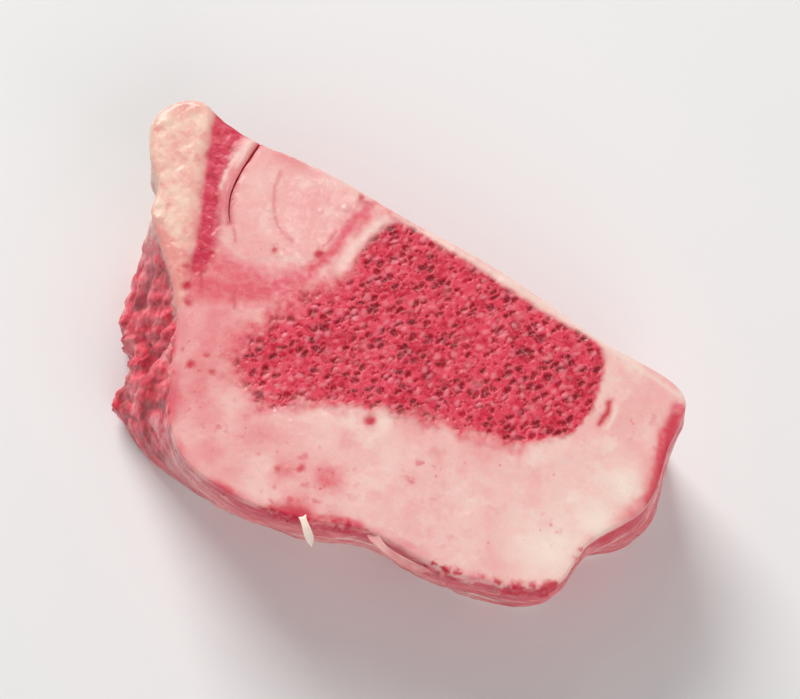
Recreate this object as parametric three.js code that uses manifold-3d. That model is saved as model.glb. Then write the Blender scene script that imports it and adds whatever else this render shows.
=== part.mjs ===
// A sawn piece of raw veal backbone, lying on one of its two saw cuts. Millimetres, +Z up, long side along X.
// A shell of pale cartilage and compact bone holds a core of red spongy bone. At one end sit a plate of growth
// cartilage, a strip of red meat and an edge of fat, and meat clings to the torn side below them. Every tissue
// runs through from the upper cut to the lower one, and each is one closed solid.
import * as THREE from "three";
import { mergeVertices } from "three/addons/utils/BufferGeometryUtils.js";
import Module from "manifold-3d";

const wasm = await Module();
wasm.setup();

// ---- Driving dimensions ----
const THICKNESS = 30; // from one saw cut to the other
const GAP = 0.3; // between neighbouring tissues
const CUT_ROUNDING = 0.6; // how far soft tissue rounds off at the edge of a cut
const OVERSHOOT = 4; // how far a cutting shape runs past both saw cuts
const COLUMNS = 126; // points round the piece
const REGION_COLUMNS = 44; // points round a tissue's own outline

// How far each tissue stands proud of the upper cut (or lies below it) and off the lower one
const RELIEF = {
  spongy_core: { top: -0.35, bottom: 0.3 },
  growth_plate: { top: 0.1, bottom: 0.1 },
  meat_strip: { top: -0.6, bottom: 0.5 },
  fat_edge: { top: 0.7, bottom: 0 },
  side_meat: { top: -0.5, bottom: 0 },
};

// ---- Outlines on the upper cut, counterclockwise from above ----
const CUT_OUTLINE = [
  [49.5, 12.5],
  [32, 15],
  [14, 18],
  [-8, 19.5],
  [-22, 20.5],
  [-36, 20],
  [-42, 20.8],
  [-49, 22],
  [-53.8, 16.5],
  [-51, 9],
  [-46.6, 4.8],
  [-45.2, 0],
  [-39, -6],
  [-32, -14],
  [-28, -22],
  [-23.5, -31],
  [-18, -35.5],
  [-8, -37],
  [3, -35.5],
  [14, -32],
  [24, -32],
  [33, -31],
  [44.5, -26],
  [46.5, -17],
  [52, -7],
  [51, 3],
];

// Each tissue's outline on the upper cut. At the lower cut it has grown by scale about its middle and moved by shift.
const REGIONS = {
  spongy_core: {
    outline: [
      [-10, 3.5],
      [-15, -5],
      [-18, -16.5],
      [-13, -20.8],
      [-2, -17],
      [12, -12.2],
      [26, -9.8],
      [35.5, -3],
      [37.5, 4.5],
      [32, 12.8],
      [20, 14.9],
      [4, 16.9],
      [-8.6, 16.9],
    ],
    scale: 0.82,
    shift: [2, 0.5],
  },
  growth_plate: {
    outline: [
      [-24, 26],
      [-35, 24],
      [-35.4, 16],
      [-34.6, 9.5],
      [-32, 4],
      [-28, -0.4],
      [-21, 3],
      [-15.6, 6.5],
      [-14.6, 13],
      [-13.6, 19],
      [-14, 26],
    ],
    scale: 0.86,
    shift: [-1.5, 1],
  },
  meat_strip: {
    outline: [
      [-37, 25],
      [-46, 27],
      [-43.2, 16],
      [-39.5, 7],
      [-36.2, 0],
      [-33.6, -7],
      [-31.4, -5.6],
      [-32.4, 0],
      [-35.2, 6.4],
      [-37.6, 12],
      [-38.2, 18],
    ],
    scale: 1.08,
    shift: [-1, -1.5],
  },
  fat_edge: {
    outline: [
      [-42, 30],
      [-60, 30],
      [-62, 12],
      [-55, 0],
      [-43, -3.4],
      [-37, -8],
      [-32.6, -15],
      [-32, -11],
      [-35.5, -1],
      [-39, 8],
      [-42, 16],
    ],
    scale: 0.94,
    shift: [1, 0.6],
  },
  side_meat: {
    outline: [
      [-41, -3.2],
      [-62, 0],
      [-62, -40],
      [-40, -52],
      [-24, -44],
      [-20.8, -34],
      [-25, -26],
      [-28.4, -18],
      [-33, -10.6],
    ],
    scale: 1,
    shift: [-4, -3],
  },
};

// How the wall departs from upright: near each place, foot moves it outward at the lower cut and belly halfway up.
const SIDES = [
  { at: [-38, -7], reach: 11, foot: 11, belly: 1 }, // the torn side, which spreads towards its foot
  { at: [-28, -22], reach: 11, foot: 13, belly: 1 }, // and its front corner
  { at: [8, -37], reach: 34, foot: -5.5, belly: 2.2 }, // the rounded front, which curls under
  { at: [47, -20], reach: 14, foot: -3.5, belly: 1.2 }, // the blunt end below its point
  { at: [52, 0], reach: 10, foot: 2, belly: 0.3 }, // the point itself
  { at: [-52, 14], reach: 9, foot: -3, belly: 1.5 }, // the fat corner
];

// Natural unevenness of the walls
const LUMP_HEIGHT = 0.55;
const LUMP_LENGTH = 9;
const TORN_SIDE = { at: [-35, -15], reach: 15, lumpHeight: 1.5, lumpLength: 3.4 };

// The slit where a membrane has come away from the growth plate
const SLIT = { path: [[-34.9, 24], [-35.3, 16.5], [-35.2, 12.5], [-34.3, 8.5], [-32.6, 5]], width: 1.1, depth: 9 };

// A shred of membrane that curls out over the front wall
const SHRED = {
  path: [
    [2.6, -33.5, THICKNESS - 2.4],
    [4.6, -36, THICKNESS - 1],
    [6.8, -37.8, THICKNESS - 1.8],
    [8.2, -38.8, THICKNESS - 4.2],
    [8.5, -39.2, THICKNESS - 7],
  ],
  width: 1.5,
  thickness: 0.8,
  steps: 10,
};

// ---- Helpers ----
const smooth = (t) => t * t * (3 - 2 * t);

// A closed curve through the points, sampled evenly
function closedCurve(points, count) {
  const curve = new THREE.CatmullRomCurve3(points.map(([x, y]) => new THREE.Vector3(x, y, 0)), true, "centripetal");
  return curve.getSpacedPoints(count).slice(0, count).map((p) => new THREE.Vector2(p.x, p.y));
}

// The outward direction at each point of a counterclockwise outline
function outwardNormals(outline) {
  return outline.map((_, i) => {
    const before = outline[(i + outline.length - 1) % outline.length];
    const after = outline[(i + 1) % outline.length];
    const along = after.clone().sub(before).normalize();
    return new THREE.Vector2(along.y, -along.x);
  });
}

function grown(outline, distance) {
  const normals = outwardNormals(outline);
  return outline.map((p, i) => p.clone().addScaledVector(normals[i], distance));
}

// How strongly a place on the outline belongs to a side: 1 at its middle, fading past its reach
const nearness = (point, side) => Math.exp(-(((point.x - side.at[0]) ** 2 + (point.y - side.at[1]) ** 2) / side.reach ** 2));

// A smooth, irregular number from -1 to 1 that changes over about the given length
function unevenness(x, y, z, length) {
  const [a, b, c] = [x / length, y / length, z / length];
  const broad = Math.sin(1.9 * a + 2.3 * b + 0.7) * Math.cos(1.6 * c - 1.1 * a + 1.3);
  const fine = Math.sin(3.7 * b - 2.9 * a + 4.1) * Math.cos(3.1 * c + 2.2 * b + 0.4);
  return 0.65 * broad + 0.35 * fine;
}

// A closed solid through rings of points, lowest ring first, each counterclockwise from above
function loft(rings) {
  const count = rings[0].length;
  const positions = rings.flat().flatMap((p) => [p.x, p.y, p.z]);
  const faces = [];
  for (let r = 0; r + 1 < rings.length; r++) {
    for (let i = 0; i < count; i++) {
      const [a, b] = [r * count + i, r * count + ((i + 1) % count)];
      faces.push(a, b, b + count, a, b + count, a + count);
    }
  }
  const flat = (ring) => ring.map((p) => new THREE.Vector2(p.x, p.y));
  const top = (rings.length - 1) * count;
  for (const [a, b, c] of THREE.ShapeUtils.triangulateShape(flat(rings[0]), [])) faces.push(a, c, b);
  for (const [a, b, c] of THREE.ShapeUtils.triangulateShape(flat(rings.at(-1)), [])) faces.push(top + a, top + b, top + c);
  const geometry = new THREE.BufferGeometry();
  geometry.setAttribute("position", new THREE.Float32BufferAttribute(positions, 3));
  geometry.setIndex(faces);
  return geometry;
}

function toSolid(geometry) {
  const bare = geometry.clone();
  bare.deleteAttribute("normal");
  bare.deleteAttribute("uv");
  const merged = mergeVertices(bare, 1e-4);
  const mesh = new wasm.Mesh({
    numProp: 3,
    vertProperties: merged.attributes.position.array,
    triVerts: new Uint32Array(merged.index.array),
  });
  return new wasm.Manifold(mesh);
}

function toGeometry(solid) {
  const mesh = solid.getMesh();
  const geometry = new THREE.BufferGeometry();
  geometry.setAttribute("position", new THREE.Float32BufferAttribute(mesh.vertProperties, 3));
  geometry.setIndex(new THREE.BufferAttribute(mesh.triVerts, 1));
  geometry.computeVertexNormals();
  return geometry;
}

// ---- The whole piece, before it is divided into tissues ----

// The ring of wall points at a height, with the cuts' edges rounded and the wall leaning, bulging and lumpy
function wallRing(height, lowest, highest) {
  const up = height / THICKNESS;
  const toCut = Math.min(height - lowest, highest - height);
  const rounding = toCut < CUT_ROUNDING ? CUT_ROUNDING - toCut : 0;
  const outline = closedCurve(CUT_OUTLINE, COLUMNS);
  const normals = outwardNormals(outline);
  return outline.map((p, i) => {
    let outward = -rounding;
    for (const side of SIDES) {
      const share = nearness(p, side);
      outward += share * (side.foot * smooth(1 - up) + side.belly * Math.sin(Math.PI * up));
    }
    const torn = nearness(p, TORN_SIDE);
    const awayFromCuts = Math.min(1, toCut / 3);
    outward += LUMP_HEIGHT * (1 - torn) * awayFromCuts * unevenness(p.x, p.y, height, LUMP_LENGTH);
    outward += TORN_SIDE.lumpHeight * torn * awayFromCuts * unevenness(p.x, p.y, height, TORN_SIDE.lumpLength);
    return new THREE.Vector3(p.x + normals[i].x * outward, p.y + normals[i].y * outward, height);
  });
}

function wholePiece({ top, bottom }) {
  const [lowest, highest] = [bottom, THICKNESS + top];
  const heights = [lowest, lowest + CUT_ROUNDING];
  const wallSteps = 9;
  for (let i = 1; i < wallSteps; i++) heights.push(lowest + ((highest - lowest) * i) / wallSteps);
  heights.push(highest - CUT_ROUNDING, highest);
  return toSolid(loft(heights.map((h) => wallRing(h, lowest, highest))));
}

// ---- Shapes that divide it ----

// A tissue's region from below the lower cut to above the upper one
function regionSolid({ outline, scale, shift }, margin) {
  const upper = grown(closedCurve(outline, REGION_COLUMNS), margin);
  const middle = upper.reduce((sum, p) => sum.add(p), new THREE.Vector2()).divideScalar(upper.length);
  const steps = 6;
  const rings = [];
  for (let s = 0; s <= steps; s++) {
    const height = -OVERSHOOT + ((THICKNESS + 2 * OVERSHOOT) * s) / steps;
    const down = 1 - height / THICKNESS;
    const size = 1 + (scale - 1) * down;
    rings.push(upper.map((p) => new THREE.Vector3(
      middle.x + (p.x - middle.x) * size + shift[0] * down,
      middle.y + (p.y - middle.y) * size + shift[1] * down,
      height,
    )));
  }
  return toSolid(loft(rings));
}

// A thin wedge along the slit's path, narrowing to nothing at its foot
function slitSolid() {
  const centre = new THREE.CatmullRomCurve3(SLIT.path.map(([x, y]) => new THREE.Vector3(x, y, 0))).getSpacedPoints(12);
  const ring = (width, height) => {
    const side = (sign) => centre.map((p, i) => {
      const [a, b] = [centre[Math.max(0, i - 1)], centre[Math.min(centre.length - 1, i + 1)]];
      const across = new THREE.Vector3(a.y - b.y, b.x - a.x, 0).normalize();
      const taper = 1 - 0.85 * (i / (centre.length - 1)) ** 2;
      return new THREE.Vector3(p.x, p.y, height).addScaledVector(across, (sign * width * taper) / 2);
    });
    return [...side(-1), ...side(1).reverse()];
  };
  return toSolid(loft([ring(0.15 * SLIT.width, THICKNESS - SLIT.depth), ring(SLIT.width, THICKNESS), ring(SLIT.width, THICKNESS + OVERSHOOT)]));
}

function shredSolid() {
  const [w, t] = [SHRED.width / 2, SHRED.thickness / 2];
  const section = new THREE.Shape([[-t, -w], [t, -w], [t, w], [-t, w]].map(([x, y]) => new THREE.Vector2(x, y)));
  const extrudePath = new THREE.CatmullRomCurve3(SHRED.path.map((p) => new THREE.Vector3(...p)));
  return toSolid(new THREE.ExtrudeGeometry(section, { steps: SHRED.steps, extrudePath }));
}

// ---- Tissues ----
const COLOURS = {
  cartilage_shell: { color: 0xeeb2ac, roughness: 0.4 },
  spongy_core: { color: 0xc4455a, roughness: 0.6 },
  growth_plate: { color: 0xf0b8b0, roughness: 0.35 },
  meat_strip: { color: 0xc94a60, roughness: 0.5 },
  fat_edge: { color: 0xf2c6b4, roughness: 0.35 },
  side_meat: { color: 0xd06a76, roughness: 0.5 },
};

function tissueMesh(name, solid) {
  const material = new THREE.MeshStandardMaterial({ ...COLOURS[name], metalness: 0 });
  const mesh = new THREE.Mesh(toGeometry(solid), material);
  mesh.name = name;
  return mesh;
}

const largestPiece = (solid) => solid.decompose().sort((a, b) => b.volume() - a.volume())[0];

// Earlier tissues take their whole region, and later ones what is left of theirs. The shell is all the rest.
function buildPiece() {
  const piece = new THREE.Group();
  const slit = slitSolid();
  let shell = wholePiece({ top: 0, bottom: 0 }).subtract(slit);
  const taken = [];
  for (const [name, region] of Object.entries(REGIONS)) {
    let tissue = wholePiece(RELIEF[name]).intersect(regionSolid(region, 0)).subtract(slit);
    for (const earlier of taken) tissue = tissue.subtract(earlier);
    piece.add(tissueMesh(name, largestPiece(tissue)));
    const cleared = regionSolid(region, GAP);
    taken.push(cleared);
    shell = shell.subtract(cleared);
  }
  piece.add(tissueMesh("cartilage_shell", largestPiece(shell).add(shredSolid())));
  const box = new THREE.Box3().setFromObject(piece, true);
  const middle = box.getCenter(new THREE.Vector3());
  piece.position.set(-middle.x, -middle.y, -box.min.z);
  return piece;
}

export default buildPiece();
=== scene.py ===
"""A sawn piece of raw veal backbone on a pale floor, drawn in millimetres and turned into metres."""
import math
from itertools import product

import bpy
import numpy as np
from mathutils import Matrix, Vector
from mathutils.geometry import delaunay_2d_cdt


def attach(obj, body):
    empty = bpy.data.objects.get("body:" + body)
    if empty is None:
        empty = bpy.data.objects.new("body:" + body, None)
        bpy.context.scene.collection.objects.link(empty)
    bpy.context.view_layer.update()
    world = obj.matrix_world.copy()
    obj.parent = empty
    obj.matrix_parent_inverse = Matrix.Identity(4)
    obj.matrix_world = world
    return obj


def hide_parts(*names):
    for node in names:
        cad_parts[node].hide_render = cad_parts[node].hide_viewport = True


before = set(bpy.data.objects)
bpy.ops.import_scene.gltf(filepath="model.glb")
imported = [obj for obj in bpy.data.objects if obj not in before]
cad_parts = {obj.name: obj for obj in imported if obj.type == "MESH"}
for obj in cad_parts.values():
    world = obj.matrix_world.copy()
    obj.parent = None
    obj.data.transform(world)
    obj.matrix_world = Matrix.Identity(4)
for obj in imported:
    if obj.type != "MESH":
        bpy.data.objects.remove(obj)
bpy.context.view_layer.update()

# ---- The piece's own sizes, the same as the solids', except that the slit is finer ----
METRE = 1000.0
THICKNESS = 30.0
DRAWN_CENTRE = (-0.3216, -8.7386)  # where the middle of the solids' box lies on the drawing
OVERSHOOT = 4.0  # how far a cutting body reaches past the cuts

CUT_OUTLINE = [
    (49.5, 12.5), (32, 15), (14, 18), (-8, 19.5), (-22, 20.5), (-36, 20), (-42, 20.8), (-49, 22),
    (-53.8, 16.5), (-51, 9), (-46.6, 4.8), (-45.2, 0), (-39, -6), (-32, -14), (-28, -22), (-23.5, -31),
    (-18, -35.5), (-8, -37), (3, -35.5), (14, -32), (24, -32), (33, -31), (44.5, -26), (46.5, -17),
    (52, -7), (51, 3),
]

REGIONS = {
    "spongy_core": dict(
        outline=[(-10, 3.5), (-15, -5), (-18, -16.5), (-13, -20.8), (-2, -17), (12, -12.2), (26, -9.8),
                 (35.5, -3), (37.5, 4.5), (32, 12.8), (20, 14.9), (4, 16.9), (-8.6, 16.9)],
        scale=0.82, shift=(2, 0.5)),
    "growth_plate": dict(
        outline=[(-24, 26), (-35, 24), (-35.4, 16), (-34.6, 9.5), (-32, 4), (-28, -0.4), (-21, 3),
                 (-15.6, 6.5), (-14.6, 13), (-13.6, 19), (-14, 26)],
        scale=0.86, shift=(-1.5, 1)),
    "meat_strip": dict(
        outline=[(-37, 25), (-46, 27), (-43.2, 16), (-39.5, 7), (-36.2, 0), (-33.6, -7), (-31.4, -5.6),
                 (-32.4, 0), (-35.2, 6.4), (-37.6, 12), (-38.2, 18)],
        scale=1.08, shift=(-1, -1.5)),
    "fat_edge": dict(
        outline=[(-42, 30), (-60, 30), (-62, 12), (-55, 0), (-43, -3.4), (-37, -8), (-32.6, -15), (-32, -11),
                 (-35.5, -1), (-39, 8), (-42, 16)],
        scale=0.94, shift=(1, 0.6)),
    "side_meat": dict(
        outline=[(-41, -3.2), (-62, 0), (-62, -40), (-40, -52), (-24, -44), (-20.8, -34), (-25, -26),
                 (-28.4, -18), (-33, -10.6)],
        scale=1.0, shift=(-4, -3)),
}

# Near each place the wall moves outward: foot at the lower cut, belly halfway up
SIDES = [
    dict(at=(-38, -7), reach=11, foot=11, belly=1),
    dict(at=(-28, -22), reach=11, foot=13, belly=1),
    dict(at=(8, -37), reach=34, foot=-5.5, belly=2.2),
    dict(at=(47, -20), reach=14, foot=-3.5, belly=1.2),
    dict(at=(52, 0), reach=10, foot=2, belly=0.3),
    dict(at=(-52, 14), reach=9, foot=-3, belly=1.5),
]
TORN_SIDE = dict(at=(-35, -15), reach=15)
TORN_ALONG = np.array((0.54, -0.84))  # the way the torn side runs on the drawing
BACK_CORNER = dict(at=(33.4, 12.8), reach=4.2)  # of the core
FAT_CORNER = dict(at=(-52, 12), reach=12)

SLIT_PATH = [(-34.7, 23), (-35.2, 17.5), (-35.3, 13), (-34.8, 9.5), (-33.4, 6.2), (-32.2, 4.4)]
SLIT_WIDTH, SLIT_DEPTH = 0.6, 1.1


# ---- Small tools ----
def smooth(t):
    t = np.clip(t, 0, 1)
    return t * t * (3 - 2 * t)


def rise(low, high, value):
    """0 up to low, 1 from high on, and smooth between them. It falls where low is more than high."""
    return smooth((value - low) / (high - low))


def at_height(xy, z):
    """Places on the drawing as points at one height."""
    return np.column_stack([xy, np.full(len(xy), z)])


def path_lengths(path):
    """How far along a path each of its points lies."""
    return np.concatenate([[0], np.cumsum(np.linalg.norm(np.diff(path, axis=0), axis=1))])


def points_at(wanted, lengths, path):
    return np.stack([np.interp(wanted, lengths, column) for column in path.T], 1)


def resample(loop, count):
    """Evenly spaced points round a closed loop."""
    path = np.vstack([loop, loop[:1]])
    lengths = path_lengths(path)
    return points_at(np.arange(count) / count * lengths[-1], lengths, path)


def resample_open(points, count, rounds=6):
    """Evenly spaced points along a path, with its corners smoothed away in rounds."""
    path = np.asarray(points, float)
    lengths = path_lengths(path)
    line = points_at(np.linspace(0, lengths[-1], count), lengths, path)
    for _ in range(rounds):
        line[1:-1] = (line[:-2] + 2 * line[1:-1] + line[2:]) / 4
    return line


def closed_curve(points, count):
    """A closed centripetal Catmull-Rom curve through the points, sampled evenly."""
    given = np.asarray(points, float)
    steps = 60
    n, parts, t = len(given), [], np.arange(steps)[:, None] / steps
    for i in range(n):
        p0, p1, p2, p3 = (given[(i + k) % n] for k in (-1, 0, 1, 2))
        d0, d1, d2 = (np.linalg.norm(b - a) ** 0.5 for a, b in ((p0, p1), (p1, p2), (p2, p3)))
        m1 = ((p1 - p0) / d0 - (p2 - p0) / (d0 + d1) + (p2 - p1) / d1) * d1
        m2 = ((p2 - p1) / d1 - (p3 - p1) / (d1 + d2) + (p3 - p2) / d2) * d1
        second, third = -3 * p1 + 3 * p2 - 2 * m1 - m2, 2 * p1 - 2 * p2 + m1 + m2
        parts.append(p1 + m1 * t + second * t ** 2 + third * t ** 3)
    return resample(np.vstack(parts), count)


def blur_loop(values, sigma):
    """Averages values round a closed loop; sigma is in samples."""
    n = len(values)
    gain = np.exp(-2 * (math.pi * np.fft.rfftfreq(n) * sigma) ** 2)
    return np.fft.irfft(np.fft.rfft(values, axis=0) * gain[:, None], n, axis=0)


def outward_normals(loop, sigma=0):
    """Outward directions of a counterclockwise loop, turned more gently for a larger sigma."""
    along = np.roll(loop, -1, axis=0) - np.roll(loop, 1, axis=0)
    if sigma:
        along = blur_loop(along, sigma)
    along /= np.linalg.norm(along, axis=1)[:, None]
    return np.stack([along[:, 1], -along[:, 0]], 1)


def nearness(xy, side):
    """1 at a side's place, and less with the distance from it."""
    return np.exp(-((xy - side["at"]) ** 2).sum(-1) / side["reach"] ** 2)


# ---- Noise, the same at every run ----
def hashed(lattice, seed):
    i = lattice.astype(np.int64).astype(np.uint64)
    h = i[..., 0] * np.uint64(73856093) ^ i[..., 1] * np.uint64(19349663) ^ i[..., 2] * np.uint64(83492791)
    h = (h ^ np.uint64(seed * 2654435761)) & np.uint64(0xFFFFFFFF)
    h = ((h ^ (h >> np.uint64(15))) * np.uint64(2246822519)) & np.uint64(0xFFFFFFFF)
    h = ((h ^ (h >> np.uint64(13))) * np.uint64(3266489917)) & np.uint64(0xFFFFFFFF)
    return h ^ (h >> np.uint64(16))


def part_of(h, shift):
    """A value from 0 to 1 out of ten bits of a hash."""
    return ((h >> np.uint64(shift)) & np.uint64(1023)).astype(float) / 1023


def noise(points, size, seed=0, octaves=1):
    """Smooth noise of about -1 to 1 that swings over about the given size (one number or one per axis)."""
    total, weight = 0, 1
    for octave in range(octaves):
        p = points / size * 2 ** octave
        cell = np.floor(p)
        f = p - cell
        u = f ** 3 * (f * (f * 6 - 15) + 10)
        for corner in product((0, 1), repeat=3):
            h = hashed(cell + corner, seed + 31 * octave)
            slope = np.stack([part_of(h, 0), part_of(h, 10), part_of(h, 20)], -1) * 2 - 1
            share = np.prod(np.where(corner, u, 1 - u), axis=-1)
            total = total + 1.5 * weight * share * ((f - corner) * slope).sum(-1)
        weight *= 0.5
    return total


def cells(points, size, seed=0):
    """Each point's distance to its cell's middle, how far it is from the border (0 there) and the cell's
    own random number. Distances are in cell sizes.
    """
    p = points[:, :2] / size
    near = second = np.full(len(p), np.inf)
    owner = np.zeros(len(p), np.uint64)
    for step in product((-1, 0, 1), repeat=2):
        cell = np.floor(p) + step
        h = hashed(at_height(cell, 0.0), seed)
        middle = cell + 0.5 + 0.9 * (np.stack([part_of(h, 0), part_of(h, 10)], -1) - 0.5)
        distance = np.linalg.norm(p - middle, axis=1)
        closer = distance < near
        second = np.where(closer, near, np.minimum(second, distance))
        owner, near = np.where(closer, h, owner), np.where(closer, distance, near)
    return near, second - near, part_of(owner, 20)


# ---- Distances on the drawing ----
AT_ONCE = 8000  # points worked on together, to spare memory


def distance_to_path(xy, path, closed=False):
    a = np.asarray(path, float)
    b = np.roll(a, -1, axis=0) if closed else a[1:]
    a = a if closed else a[:-1]
    edge = b - a
    out = np.empty(len(xy))
    for start in range(0, len(xy), AT_ONCE):
        p = xy[start:start + AT_ONCE, None]
        t = np.clip(((p - a) * edge).sum(-1) / (edge ** 2).sum(-1), 0, 1)
        d = np.sqrt(((p - a - t[..., None] * edge) ** 2).sum(-1)).min(1)
        if closed:
            crosses = (a[:, 1] > p[..., 1]) != (b[:, 1] > p[..., 1])
            height = np.where(edge[:, 1] == 0, 1e-9, edge[:, 1])
            left = p[..., 0] < edge[:, 0] * (p[..., 1] - a[:, 1]) / height + a[:, 0]
            d = np.where((crosses & left).sum(1) % 2 == 1, -d, d)
        out[start:start + AT_ONCE] = d
    return out


def distance_field(loop, pitch=0.4, margin=7):
    """A quick reader of the distance to a closed loop, negative inside it. It levels off beyond a margin."""
    low = loop.min(0) - margin
    xs, ys = (np.arange(low[k], loop[:, k].max() + margin + pitch, pitch) for k in range(2))
    grid = np.stack(np.meshgrid(xs, ys, indexing="ij"), -1).reshape(-1, 2)
    table = distance_to_path(grid, loop, closed=True).reshape(len(xs), len(ys))

    def read(xy):
        p = np.clip((xy - low) / pitch, 0, np.array(table.shape) - 1.001)
        corner = np.floor(p).astype(int)
        (i, j), (u, v) = corner.T, (p - corner).T
        row = table[i, j] * (1 - u) + table[i + 1, j] * u
        next_row = table[i, j + 1] * (1 - u) + table[i + 1, j + 1] * u
        return row * (1 - v) + next_row * v

    return read


class Region:
    """A tissue's region: an outline on the upper cut that changes size and moves towards the lower cut."""

    def __init__(self, outline, scale, shift):
        self.loop = closed_curve(outline, count=160)
        self.middle = self.loop.mean(0)
        self.scale, self.shift = scale, np.array(shift)
        self.field = distance_field(self.loop)

    def at_upper_cut(self, points):
        down = (1 - points[:, 2] / THICKNESS)[:, None]
        size = 1 + (self.scale - 1) * down
        return self.middle + (points[:, :2] - self.middle - self.shift * down) / size

    def distance(self, points):
        return self.field(self.at_upper_cut(points))

    def prism(self):
        """A body through the whole piece, to cut this tissue out with."""
        wave = noise(at_height(self.loop, 0.0), 4.0, seed=5, octaves=2)
        loop = self.loop + outward_normals(self.loop) * 0.25 * wave[:, None]
        rings = []
        for z in (-OVERSHOOT, THICKNESS + OVERSHOOT):
            down = 1 - z / THICKNESS
            xy = self.middle + (loop - self.middle) * (1 + (self.scale - 1) * down) + self.shift * down
            rings.append(at_height(xy, z))
        return loft(rings)


# ---- Meshes ----
def triangulate(loop, inner):
    """Triangles inside a counterclockwise loop, through the inner points too."""
    points = np.vstack([loop, inner]) if len(inner) else loop
    edges = [(i, (i + 1) % len(loop)) for i in range(len(loop))]
    result = delaunay_2d_cdt([Vector(p) for p in points], edges, [list(range(len(loop)))], 1, 1e-7)
    first = [same[0] for same in result[3]]
    tris = np.array([[first[v] for v in face] for face in result[2]])
    a, b, c = (points[tris[:, k]] for k in range(3))
    turned = (b[:, 0] - a[:, 0]) * (c[:, 1] - a[:, 1]) - (b[:, 1] - a[:, 1]) * (c[:, 0] - a[:, 0]) < 0
    tris[turned] = tris[turned][:, ::-1]
    return tris


def side_triangles(rings):
    """Triangles between rings of as many points each, lowest first."""
    count = len(rings[0])
    i = np.arange(count)
    found = []
    for r in range(len(rings) - 1):
        a, b = r * count + i, r * count + (i + 1) % count
        found += [np.stack([a, b, b + count], 1), np.stack([a, b + count, a + count], 1)]
    return found


def loft(rings, upper=(), lower=()):
    """A closed body through rings, lowest first. upper and lower are points in its two caps."""
    count = len(rings[0])
    vertices = np.vstack(rings)
    tris = side_triangles(rings)
    for ring, inner, start in ((rings[0], lower, 0), (rings[-1], upper, (len(rings) - 1) * count)):
        cap = triangulate(ring[:, :2], np.asarray(inner)[:, :2] if len(inner) else [])
        offset = len(vertices) - count
        cap = np.where(cap < count, cap + start, cap + offset)
        tris.append(cap if start else cap[:, ::-1])
        if len(inner):
            vertices = np.vstack([vertices, inner])
    return vertices, np.vstack(tris)


def scene_object(name, data):
    made = bpy.data.objects.new(name, data)
    bpy.context.scene.collection.objects.link(made)
    return made


def mesh_object(name, vertices, tris):
    mesh = bpy.data.meshes.new(name)
    mesh.vertices.add(len(vertices))
    mesh.vertices.foreach_set("co", np.asarray(vertices, np.float32).ravel())
    mesh.loops.add(3 * len(tris))
    mesh.loops.foreach_set("vertex_index", np.asarray(tris, np.int32).ravel())
    mesh.polygons.add(len(tris))
    mesh.polygons.foreach_set("loop_start", np.arange(0, 3 * len(tris), 3, dtype=np.int32))
    mesh.update(calc_edges=True)
    mesh.validate()
    return scene_object(name, mesh)


def points_of(obj):
    flat = np.empty(3 * len(obj.data.vertices))
    obj.data.vertices.foreach_get("co", flat)
    return flat.reshape(-1, 3)


def cut_by(obj, operation, tool):
    """Takes tool from obj, or leaves only what both share. tool is vertices and triangles."""
    other = mesh_object("cutter", *tool)
    change = obj.modifiers.new("cut", "BOOLEAN")
    change.operation, change.solver, change.object = operation, "MANIFOLD", other
    bpy.context.view_layer.update()
    result = bpy.data.meshes.new_from_object(obj.evaluated_get(bpy.context.evaluated_depsgraph_get()))
    obj.modifiers.clear()
    old, obj.data = obj.data, result
    bpy.data.meshes.remove(old)
    bpy.data.meshes.remove(other.data)


# ---- What the tissues look like, place by place ----
regions = {name: Region(**region) for name, region in REGIONS.items()}

BLOOD_DOTS = [  # x, y, radius, strength
    (-25.1, -20.8, 0.75, 0.85), (-23.6, -18.3, 0.6, 0.7), (-21.3, -20.4, 0.65, 0.75),
    (-22.9, 3.5, 0.6, 0.8), (-15.8, 6.5, 0.9, 1), (-34.7, -6, 0.6, 0.7), (-32.9, -9.1, 0.8, 1),
    (-31, -11.6, 0.75, 0.8), (-32.2, -2, 0.7, 0.9), (5.8, -15.5, 1.05, 1), (-14.6, 19.2, 0.7, 0.6),
    (-3.6, -29.9, 0.65, 0.7), (-0.2, -27.8, 0.7, 0.65), (-5.6, 16.2, 0.9, 0.7), (-28.4, 20.2, 0.6, 0.5),
]
ROSY_SPOTS = [  # x, y, radius, strength
    (-25.3, -28.2, 3.2, 1), (-30.5, -17, 4, 0.4), (-19.5, -13, 4.6, 0.85), (-36, 0.8, 2.6, 0.5),
    (-21, -11.6, 4, 0.45), (-17, -20.5, 3.4, 0.5), (-20.2, -3.3, 3.6, 0.9), (18.1, -15.5, 1.2, 0.4),
    (-33.5, -3.5, 2.6, 0.6), (4.7, -27.4, 2.3, 0.85), (1.2, -30.6, 0.9, 0.5), (-2.4, -29.4, 2.2, 0.6),
    (16.4, -21.1, 1, 0.55), (21.5, -19.1, 0.9, 0.4), (-18.6, -27, 3.6, 0.4), (-9.6, -26.6, 3, 0.5),
    (-27.3, -31.5, 2.6, 0.6), (-14.8, -32.4, 2.4, 0.45), (39.3, -17.9, 1.1, 0.5), (42, 6, 2.2, 0.12),
    (12, -13.4, 3, 0.3), (24, -11.4, 3, 0.3), (-12.6, 19.4, 2, 0.6), (2.2, -34.2, 2.4, 0.8),
    (-26, -23.6, 3, 0.4), (-25, 19.2, 2.4, 0.35), (-29.2, 19.4, 2.6, 0.45), (3.8, -19.6, 2.2, 0.3),
    (8.5, -32.6, 2, 0.5), (-13, -24.6, 2.2, 0.35), (31, -21, 2.4, 0.2), (-9.6, -33.6, 3, 0.2),
]
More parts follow.
